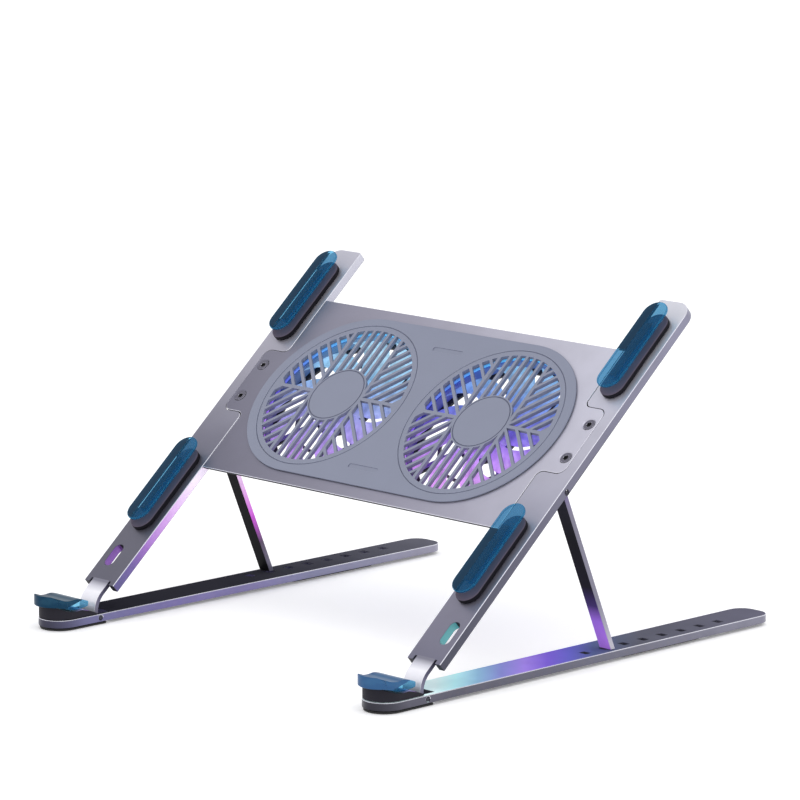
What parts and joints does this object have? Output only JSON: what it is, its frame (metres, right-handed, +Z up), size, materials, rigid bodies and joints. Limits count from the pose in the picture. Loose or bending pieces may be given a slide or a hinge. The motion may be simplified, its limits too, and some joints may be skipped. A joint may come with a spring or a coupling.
{
  "type": "laptop cooling pad",
  "caption": "Folding laptop stand: tilted rails on base bars with struts, and a grille plate with lit cooling fans between them.",
  "frame": {"origin": "on the desk, below the middle of the stand's box", "axes": "+Y from the front stops to the rear ends of the base bars, +X to the right for someone at the laptop, +Z up"},
  "size_m": [0.2446, 0.2626, 0.1636],
  "materials": {
    "rail_metal": "anodised, satin",
    "bar_metal": "anodised dark, satin",
    "plate_metal": "anodised, satin",
    "pin_steel": "satin",
    "screw_steel": "black nickel, satin",
    "pad_rubber": "matte",
    "foot_rubber": "matte",
    "gel_silicone": "translucent, smooth",
    "grille_plastic": "fine satin texture",
    "cover_plastic": "fine matte texture",
    "blade_plastic": "translucent, smooth",
    "light_guide": "translucent, lit",
    "motor_copper": "enamelled copper wire",
    "board_laminate": "solder mask"
  },
  "bodies": {
    "platform": {"rail_left": "rail_metal", "rail_right": "rail_metal", "cross_plate": "plate_metal", "grille_panel": "grille_plastic", "rear_cover": "cover_plastic", "control_board": "board_laminate", "power_socket": "pin_steel", "cover_screw_1": "screw_steel", "cover_screw_2": "screw_steel", "cover_screw_3": "screw_steel", "cover_screw_4": "screw_steel", "strut_pin_left": "pin_steel", "fan_frame_left": "cover_plastic", "fan_motor_left": "motor_copper", "led_ring_left": "light_guide", "plate_screw_lower_left": "screw_steel", "rail_pad_lower_left": "pad_rubber", "rail_cushion_lower_left": "gel_silicone", "plate_screw_upper_left": "screw_steel", "rail_pad_upper_left": "pad_rubber", "rail_cushion_upper_left": "gel_silicone", "strut_pin_right": "pin_steel", "fan_frame_right": "cover_plastic", "fan_motor_right": "motor_copper", "led_ring_right": "light_guide", "plate_screw_lower_right": "screw_steel", "rail_pad_lower_right": "pad_rubber", "rail_cushion_lower_right": "gel_silicone", "plate_screw_upper_right": "screw_steel", "rail_pad_upper_right": "pad_rubber", "rail_cushion_upper_right": "gel_silicone"},
    "base_left": {"base_bar_left": "bar_metal", "base_pin_left": "pin_steel", "front_stop_left": "pad_rubber", "stop_cushion_left": "gel_silicone", "front_foot_left": "foot_rubber", "rear_foot_left": "foot_rubber"},
    "strut_left": {"strut_left": "bar_metal"},
    "rotor_left": {"fan_rotor_left": "blade_plastic"},
    "base_right": {"base_bar_right": "bar_metal", "base_pin_right": "pin_steel", "front_stop_right": "pad_rubber", "stop_cushion_right": "gel_silicone", "front_foot_right": "foot_rubber", "rear_foot_right": "foot_rubber"},
    "strut_right": {"strut_right": "bar_metal"},
    "rotor_right": {"fan_rotor_right": "blade_plastic"}
  },
  "joints": [
    {"name": "base_fold_left", "type": "hinge", "parent": "platform", "child": "base_left", "pos_m": [-0.11205, -0.1013, 0.0033], "axis": [1, 0, 0], "range_deg": [0, 29.2]},
    {"name": "strut_fold_left", "type": "hinge", "parent": "platform", "child": "strut_left", "pos_m": [-0.117, -0.01253, 0.08489], "axis": [1, 0, 0], "range_deg": [0, 108.2]},
    {"name": "fan_spin_left", "type": "hinge", "parent": "platform", "child": "rotor_left", "pos_m": [-0.0494, 0.0096, 0.10075], "axis": [0, -0.6574, 0.7536], "continuous": true},
    {"name": "base_fold_right", "type": "hinge", "parent": "platform", "child": "base_right", "pos_m": [0.11205, -0.1013, 0.0033], "axis": [1, 0, 0], "range_deg": [0, 29.2]},
    {"name": "strut_fold_right", "type": "hinge", "parent": "platform", "child": "strut_right", "pos_m": [0.117, -0.01253, 0.08489], "axis": [1, 0, 0], "range_deg": [0, 108.2]},
    {"name": "fan_spin_right", "type": "hinge", "parent": "platform", "child": "rotor_right", "pos_m": [0.0494, 0.0096, 0.10075], "axis": [0, -0.6574, 0.7536], "continuous": true}
  ],
  "couplings": [
    {"joint": "strut_fold_left", "follows": "base_fold_left", "ratio": 3.7},
    {"joint": "strut_fold_right", "follows": "base_fold_right", "ratio": 3.7}
  ]
}
